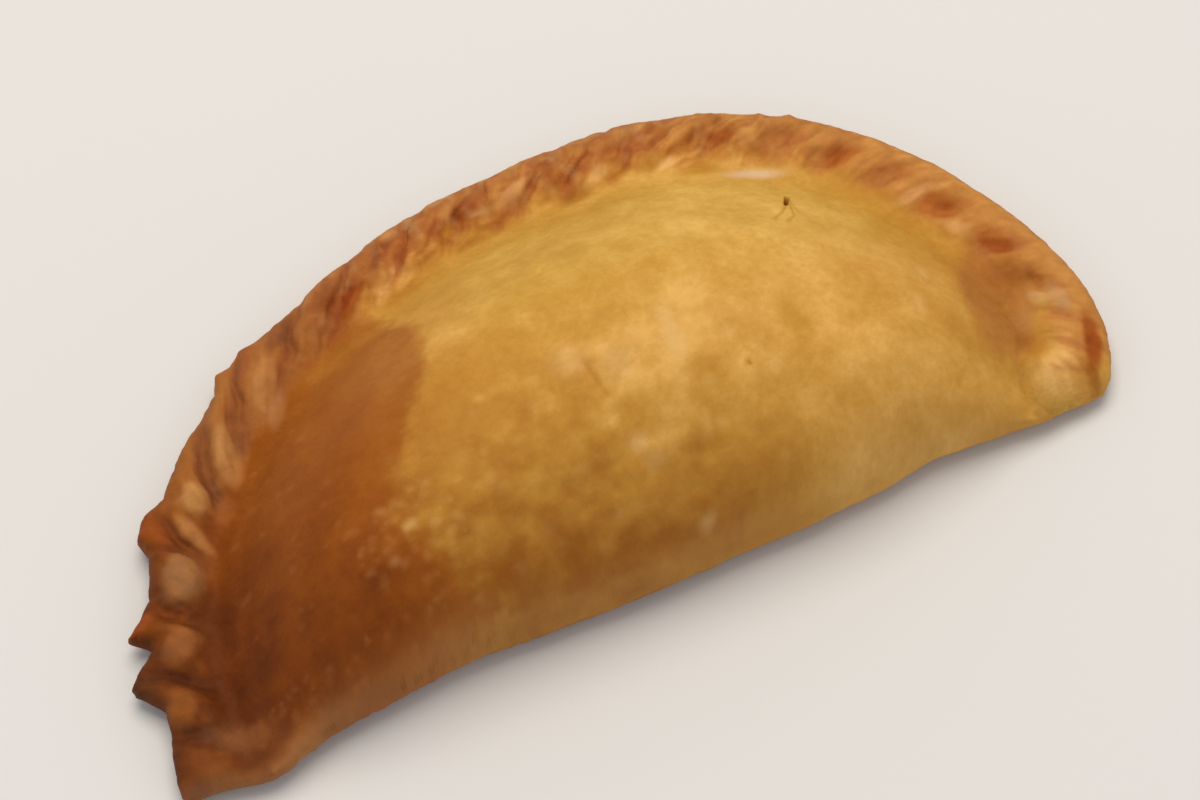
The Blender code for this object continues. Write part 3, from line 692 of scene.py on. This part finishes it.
spotDrop = 1.8  # how far down a steep side a spot reaches, in half lengths


def spotOn(points, isTop, cx, cy, half, width, degrees=0.0):
    # an oval round this place of the top, which reaches no further down a steep side than along it
    across, down = points[:, 0] - cx, points[:, 1] - cy
    middle = points[np.where(isTop, np.hypot(across, down), np.inf).argmin(), 2]
    return oval(across, down, half, width, degrees) * bump(points[:, 2] - middle, spotDrop * half)


def brownedCrust(points, marks):
    # the four paints of the crust at each point
    x, y, _ = points.T
    place, inset, under = marks["place"], marks["inset"], marks["under"]
    isTop, isBase = under == 0, under == 2
    fromFold = y - foldLine(x)
    b, t = browning, tints
    wander = sum(size * noiseAt(points, width, 2, width * 3) for width, size in b["wander"])
    lumps = noiseAt(points, b["lumpSize"], 2, 1.3)
    front = 1 - smoothStep(*b["domeMeet"], fromFold + wander)
    dome = along(x + wander, b["domeBack"]) * (1 - front) + along(x + wander, b["domeFront"]) * front
    reach, half, share = b["foldBandAt"]
    dome = dome + along(x, b["foldBand"]) * bump(fromFold - reach + share * wander, half)
    cx, cy, half, width, change = b["crown"]
    dome = dome + change * oval(x + wander - cx, y - cy, half, width)

    # the brown left end, the blotches along the fold and the patch at the right
    leftEdge = along(y, b["leftEdges"])
    beyond = x + wander * along(y, b["leftSteady"]) - along(y, b["leftStarts"])
    brown = smoothStep(leftEdge, -leftEdge, beyond)
    change, reach, half, betweenX = b["lowLeft"]
    leftTone = along(x, b["leftTones"]) + change * bump(fromFold - reach, half) * smoothStep(*betweenX, x)
    change, betweenY, betweenX = b["highLeft"]
    leftTone = leftTone + change * smoothStep(*betweenY, y) * smoothStep(*betweenX, x)
    toastAndShade = dome + (leftTone - dome) * brown
    size, change, reach, half, betweenX, less = b["lowBlotches"]
    blotches = noiseAt(points, size, 2, 6.1) * bump(fromFold - reach, half) * smoothStep(*betweenX, x)
    toastAndShade = toastAndShade + change * blotches * (1 - less * brown)
    px, py, half, width, degrees, patchTone, patchPale = b["rightPatch"]
    drift = b["patchWander"] * wander
    patch = smoothStep(*b["patchEdge"], oval(x + drift - px, y + drift - py, half, width, degrees))
    toastAndShade = toastAndShade + (patchTone - toastAndShade) * patch

    # the rope: darker valleys between paler crests, partly browning and partly painted shade in the valleys
    leaning, plump = leaningPlace(place, inset), plumpness(place, inset)
    ends, edge = along(place, b["rimEnds"]), along(place, b["rimEdges"])
    beyond = inset - ends + b["ropeWander"] * wander - b["valleyReach"] * (1 - plump)
    rope = smoothStep(edge, -edge, beyond) * smoothStep(*b["ropeJoins"], fromFold)
    comesIn, share, insets = b["valleyStarts"]
    valley = smoothStep(*comesIn, plump + share * lumps) * smoothStep(*insets, inset)
    tone = along(place, b["crests"]) * (1 - valley) + along(leaning, b["valleys"]) * valley
    change, half = b["outerEdge"]
    tone = tone + change * bump(inset, half) + along(place, b["lumps"]) * lumps
    side = smoothStep(*b["sides"], under)
    streaks = strandsAt(place, inset, *b["streakSize"], 8.2) * (1 - b["sideShare"] * side)
    tone = tone + along(place, b["streaks"]) * streaks
    toastAndShade = toastAndShade + (tone - toastAndShade) * rope

    # the flattened tip and the low edge
    tx, ty, half, width, degrees, change, tipPale, driftX, driftY = b["leftTip"]
    tip = oval(x + driftX * wander - tx, y + driftY * wander - ty, half, width, degrees) * (1 - isBase)
    reach, half, share = b["lowEdgeAt"]
    lowEdge = along(x, b["lowEdge"]) * bump(fromFold - reach + share * wander, half)
    toastAndShade = toastAndShade + change * tip + lowEdge

    # amber, the pale tone and the whitish mark
    left, right = t["upperRim"]
    upper = smoothStep(*left, x) * smoothStep(*right, x) * rope
    amber = upper * t["upperAmber"]
    amber += (t["leftAmber"] * brown + t["patchAmber"] * patch) * (1 - t["lessOnRim"] * rope)
    for amount, low, high in t["rimAmbers"]:
        amber += amount * smoothStep(low, high, x) * rope
    amount, low, high = t["valleyAmber"]
    amber += amount * smoothStep(low, high, x) * valley * rope
    amount, betweenY, betweenX, insets = t["backAmber"]
    back = smoothStep(*betweenY, y) * smoothStep(*betweenX, x) * smoothStep(*insets, inset)
    amber += amount * back * (1 - rope)
    size, oranger, paler = t["patches"]
    patches = noiseAt(points, size, 2, 5.7)
    amber += oranger * patches * upper
    amount, half = t["foldPale"]
    pale = amount * bump(fromFold, half)
    amount, half = t["edgePale"]
    pale += amount * bump(inset, half) * upper * rope
    amount, low, high = t["rimPale"]
    pale += amount * smoothStep(low, high, x) * rope
    pale += tipPale * tip + patchPale * patch * (1 - rope) - t["lowEdgePale"] * np.minimum(lowEdge, 0)
    pale += (t["upperPale"] + paler * np.maximum(-patches, 0)) * upper
    whitishMark = np.zeros(len(x))

    for where, down, halfAlong, halfAcross, _, darker, oranger, paler in rimSpots:
        spot = rimOval(place, inset, where, down, halfAlong, halfAcross)
        toastAndShade, amber, pale = toastAndShade + darker * spot, amber + oranger * spot, pale + paler * spot
    random = np.random.default_rng(4)
    for count, (left, right), (low, high), radii, darker, paler in fleckPatches:
        for _ in range(count):
            fx, fy, radius = random.uniform(left, right), random.uniform(low, high), random.uniform(*radii)
            spot = spotOn(points, isTop, fx, fy, radius, radius * fleckShape)
            toastAndShade, pale = toastAndShade + darker * spot, pale + paler * spot
    for sx, sy, half, width, degrees, darker, *finish in domeSpots:
        spot = spotOn(points, isTop, sx, sy, half, width, degrees)
        paler, whitish = (*finish, 0, 0)[:2]
        toastAndShade, pale, whitishMark = toastAndShade + darker * spot, pale + paler * spot, whitishMark + whitish * spot
    # painted shade: the vent and its cracks are painted darker the deeper they are cut
    deepest, darker = b["cutShade"]
    for corners, half, depth in relief["cuts"][1:]:
        toastAndShade = toastAndShade + darker * min(depth, deepest) * bump(distanceTo(points, corners), half)

    # the sides and the base
    rimSide = along(place, b["crests"]) + b["rimSide"]
    sideTone = np.where(inset > b["foldSideInset"], along(x, b["foldSide"]), rimSide)
    toastAndShade = toastAndShade + (sideTone - toastAndShade) * side * b["sideShare"]
    middle, nearRim, half, share = b["base"]
    baseTone = middle + (nearRim - middle) * bump(np.minimum(inset, fromFold), half) + share * wander
    toastAndShade = toastAndShade + (baseTone - toastAndShade) * isBase
    pale, whitishMark = pale * (1 - t["sidePale"] * side) * (1 - isBase), whitishMark * (1 - side)
    amber = np.minimum(amber, t["mostAmber"]) * (1 - t["sideAmber"] * side)
    return {"toastAndShade": toastAndShade, "amber": amber, "pale": np.clip(pale, 0, 1), "whitishMark": np.clip(whitishMark, 0, 1)}


points, faces, marks = buildCrust()
data = bpy.data.meshes.new("empanadaCrust")
data.from_pydata(points.tolist(), [], faces)
data.update()
normals = np.empty(len(points) * 3, np.float32)
data.vertex_normals.foreach_get("vector", normals)
rise, lift = reliefHeight(points, marks)
paints = brownedCrust(points, marks)
points = points + normals.reshape(-1, 3) * rise[:, None]
isBase = marks["under"] == 2
points[isBase, 2] = lift[isBase]
points[:, 2] = np.maximum(points[:, 2], 0)
data.vertices.foreach_set("co", ((points - marks["shift"]) * mm).astype(np.float32).ravel())
for name, amounts in paints.items():
    data.attributes.new(name, "FLOAT", "POINT").data.foreach_set("value", amounts.astype(np.float32))
data.update()
data.shade_smooth()
crust = bpy.data.objects.new("empanadaCrust", data)
bpy.context.scene.collection.objects.link(crust)
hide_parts("empanada")
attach(crust, "root")
print("crust:", len(points), "points,", sum(len(face) - 2 for face in faces), "triangles")


def linearColour(hexCode):
    # sRGB hex to the linear values that a shader takes
    channels = [int(hexCode[i:i + 2], 16) / 255 for i in (1, 3, 5)]
    return (*(c / 12.92 if c <= 0.04045 else ((c + 0.055) / 1.055) ** 2.4 for c in channels), 1.0)


def addNode(tree, kind, inputs=None, **settings):
    # a shader node with its settings, its values and its links
    node = tree.nodes.new("ShaderNode" + kind)
    for name, value in settings.items():
        setattr(node, name, value)
    for name, value in (inputs or {}).items():
        if isinstance(value, bpy.types.NodeSocket):
            tree.links.new(value, node.inputs[name])
        else:
            node.inputs[name].default_value = value
    return node


def newMaterial(name):
    material = bpy.data.materials.new(name)
    material.use_nodes = True
    return material, material.node_tree, material.node_tree.nodes["Principled BSDF"]


# Shortcrust brushed with egg and baked: matt, mottled yellow to brown by its sugars, with a fine grain
bakedShortcrust = {
    # colours of the crust as it browns, which also give the painted shade: (toast and shade, colour)
    "tones": ((-0.25, "#F4C273"), (0.0, "#DBA756"), (0.04, "#D39E4D"), (0.12, "#C6903D"), (0.21, "#BB8332"),
              (0.33, "#AF752B"), (0.47, "#A0631F"), (0.58, "#9A5918"), (0.75, "#8A4A11"), (0.85, "#7F4210"),
              (1.0, "#6C3611"), (1.2, "#54280E")),
    # what amber takes from green, and the colours of the pale tone and of the whitish mark
    "amberGreen": 0.17, "paleTone": "#D6AA76", "whitishMarkColour": "#E3CDB0",
    # unevenness: (size in mm, change of toast, change of brightness), and how much more of it on brown crust
    "mottles": ((6.0, 0.06, 0.0), (2.4, 0.02, 0.0), (1.1, 0.025, -0.01), (0.5, 0.012, -0.01)),
    "brownMottles": 0.2, "contrast": 4.0, "mottleDetail": 2.0,
    "downhill": 0.4,  # how fast the mottles change downwards
    "roughness": 0.62, "roughnessSpread": 0.12, "ior": 1.45, "specular": 0.09,
    # the surface: (size of the noise in mm, height in mm)
    "grains": ((1.5, 0.07), (0.45, 0.025)), "grainDetail": 3.0,
    "subsurface": 0.1, "subsurfaceScale": 1.2, "subsurfaceRadius": (1.0, 0.45, 0.2),
}


def buildBakedShortcrust():
    settings = bakedShortcrust
    material, tree, shader = newMaterial("bakedShortcrust")
    # the patterns run longer down the steep sides
    place = addNode(tree, "TexCoord").outputs["Object"]
    place = addNode(tree, "VectorMath", {0: place, 1: (1.0, 1.0, settings["downhill"])},
                    operation="MULTIPLY").outputs["Vector"]
    toastAndShade, amber, pale, whitishMark = (addNode(tree, "Attribute", attribute_name=name).outputs["Fac"]
                                 for name in ("toastAndShade", "amber", "pale", "whitishMark"))

    # mottles of several sizes, stronger where the crust is browner
    strength = addNode(tree, "Math", {0: toastAndShade, 1: settings["brownMottles"], 2: 1.0},
                       operation="MULTIPLY_ADD").outputs[0]
    browned, brightness, contrast = toastAndShade, 1.0, settings["contrast"]
    for size, darker, brighter in settings["mottles"]:
        texture = addNode(tree, "TexNoise", {"Vector": place, "Scale": 1 / (size * mm),
                                             "Detail": settings["mottleDetail"]})
        lumps = addNode(tree, "Math", {0: texture.outputs["Fac"], 1: contrast, 2: -contrast / 2},
                        operation="MULTIPLY_ADD").outputs[0]
        lumps = addNode(tree, "Math", {0: lumps, 1: strength}, operation="MULTIPLY").outputs[0]
        browned = addNode(tree, "Math", {0: lumps, 1: darker, 2: browned},
                          operation="MULTIPLY_ADD").outputs[0]
        brightness = addNode(tree, "Math", {0: lumps, 1: brighter, 2: brightness},
                             operation="MULTIPLY_ADD").outputs[0]
    palest, full = settings["tones"][0][0], settings["tones"][-1][0]
    share = addNode(tree, "MapRange", {"Value": browned, "From Min": palest, "From Max": full})
    ramp = addNode(tree, "ValToRGB", {"Fac": share.outputs["Result"]})
    stops = ramp.color_ramp.elements
    for tone, colour in settings["tones"]:
        at = (tone - palest) / (full - palest)
        stop = stops[0] if tone == palest else stops[-1] if tone == full else stops.new(at)
        stop.position, stop.color = at, linearColour(colour)

    # amber takes from the green, the pale tone and the whitish mark lie over it
    green = addNode(tree, "Math", {0: amber, 1: -settings["amberGreen"], 2: 1.0}, operation="MULTIPLY_ADD")
    tint = addNode(tree, "CombineColor", {"Red": 1.0, "Green": green.outputs[0], "Blue": 1.0})
    colour = addNode(tree, "VectorMath", {0: ramp.outputs["Color"], 1: tint.outputs["Color"]},
                     operation="MULTIPLY").outputs["Vector"]
    for amount, finish in ((pale, "paleTone"), (whitishMark, "whitishMarkColour")):
        colour = addNode(tree, "Mix", {"Factor": amount, 6: colour, 7: linearColour(settings[finish])},
                         data_type="RGBA").outputs[2]
    lit = addNode(tree, "VectorMath", {0: colour, "Scale": brightness}, operation="SCALE")
    tree.links.new(lit.outputs["Vector"], shader.inputs["Base Color"])

    # grain and crumb of the surface
    heights = 0.0
    for size, high in settings["grains"]:
        texture = addNode(tree, "TexNoise", {"Vector": place, "Scale": 1 / (size * mm),
                                             "Detail": settings["grainDetail"]})
        heights = addNode(tree, "Math", {0: texture.outputs["Fac"], 1: 2 * high, 2: heights},
                          operation="MULTIPLY_ADD").outputs[0]
    relieved = addNode(tree, "Bump", {"Height": heights, "Distance": mm, "Strength": 1.0})
    tree.links.new(relieved.outputs["Normal"], shader.inputs["Normal"])

    spread = settings["roughnessSpread"]
    smoothest = settings["roughness"] - spread / 2
    rough = addNode(tree, "Math", {0: texture.outputs["Fac"], 1: spread, 2: smoothest},
                    operation="MULTIPLY_ADD")
    tree.links.new(rough.outputs[0], shader.inputs["Roughness"])
    shader.inputs["IOR"].default_value = settings["ior"]
    shader.inputs["Specular IOR Level"].default_value = settings["specular"]
    shader.inputs["Subsurface Weight"].default_value = settings["subsurface"]
    shader.inputs["Subsurface Radius"].default_value = settings["subsurfaceRadius"]
    shader.inputs["Subsurface Scale"].default_value = settings["subsurfaceScale"] * mm
    return material


crust.data.materials.append(buildBakedShortcrust())
print("crust baked")

# The floor, plain and pale
paleFloor = {"side": 3.0, "below": 0.0001, "colour": "#DEDCD8", "roughness": 0.8}
floorData = bpy.data.meshes.new("paleFloor")
half = paleFloor["side"] / 2
square = ((-half, -half), (half, -half), (half, half), (-half, half))
floorData.from_pydata([(x, y, -paleFloor["below"]) for x, y in square], [], [(0, 1, 2, 3)])
floor = bpy.data.objects.new("paleFloor", floorData)
bpy.context.scene.collection.objects.link(floor)
floorMaterial, floorTree, floorShader = newMaterial("matteWallPaint")
floorShader.inputs["Base Color"].default_value = linearColour(paleFloor["colour"])
floorShader.inputs["Roughness"].default_value = paleFloor["roughness"]
floorData.materials.append(floorMaterial)

# Soft studio light, strongest from behind and above
studio = {
    # name, azimuth and elevation of where it hangs, distance, size, watts, colour
    "lamps": (("overheadSoftbox", 165.0, 74.0, 1.2, 0.9, 9.5, "#FFF6EA"),),
    "aim": (0.001461, -0.008055, 0.012), "air": "#F2F4F8", "airStrength": 0.6,
}
aim = Vector(studio["aim"])


def towards(azimuth, elevation):
    # azimuth 0 is in front, on the side of the fold, and 90 is to the right
    a, e = math.radians(azimuth), math.radians(elevation)
    return Vector((math.sin(a) * math.cos(e), -math.cos(a) * math.cos(e), math.sin(e)))


for name, azimuth, elevation, distance, size, watts, tint in studio["lamps"]:
    lamp = bpy.data.lights.new(name, "AREA")
    lamp.shape, lamp.size, lamp.energy = "DISK", size, watts
    lamp.color = linearColour(tint)[:3]
    hung = bpy.data.objects.new(name, lamp)
    hung.location = aim + towards(azimuth, elevation) * distance
    hung.rotation_euler = towards(azimuth, elevation).to_track_quat("Z", "Y").to_euler()
    bpy.context.scene.collection.objects.link(hung)

world = bpy.data.worlds.new("studioWorld")
bpy.context.scene.world = world
world.use_nodes = True
world.node_tree.nodes["Background"].inputs["Color"].default_value = linearColour(studio["air"])
world.node_tree.nodes["Background"].inputs["Strength"].default_value = studio["airStrength"]

# The camera, where the photograph was taken from
photoCamera = {"azimuth": -26.514, "elevation": 61.609, "distance": 0.6, "lens": 128.84, "sensor": 36.0,
               "clip": (0.01, 20.0)}
cameraData = bpy.data.cameras.new("photoCamera")
cameraData.lens, cameraData.sensor_width = photoCamera["lens"], photoCamera["sensor"]
cameraData.clip_start, cameraData.clip_end = photoCamera["clip"]
camera = bpy.data.objects.new("photoCamera", cameraData)
back = towards(photoCamera["azimuth"], photoCamera["elevation"])
camera.location = aim + back * photoCamera["distance"]
camera.rotation_euler = back.to_track_quat("Z", "Y").to_euler()
bpy.context.scene.collection.objects.link(camera)
bpy.context.scene.camera = camera
bpy.context.scene.view_settings.view_transform = "Standard"
print("stage set")
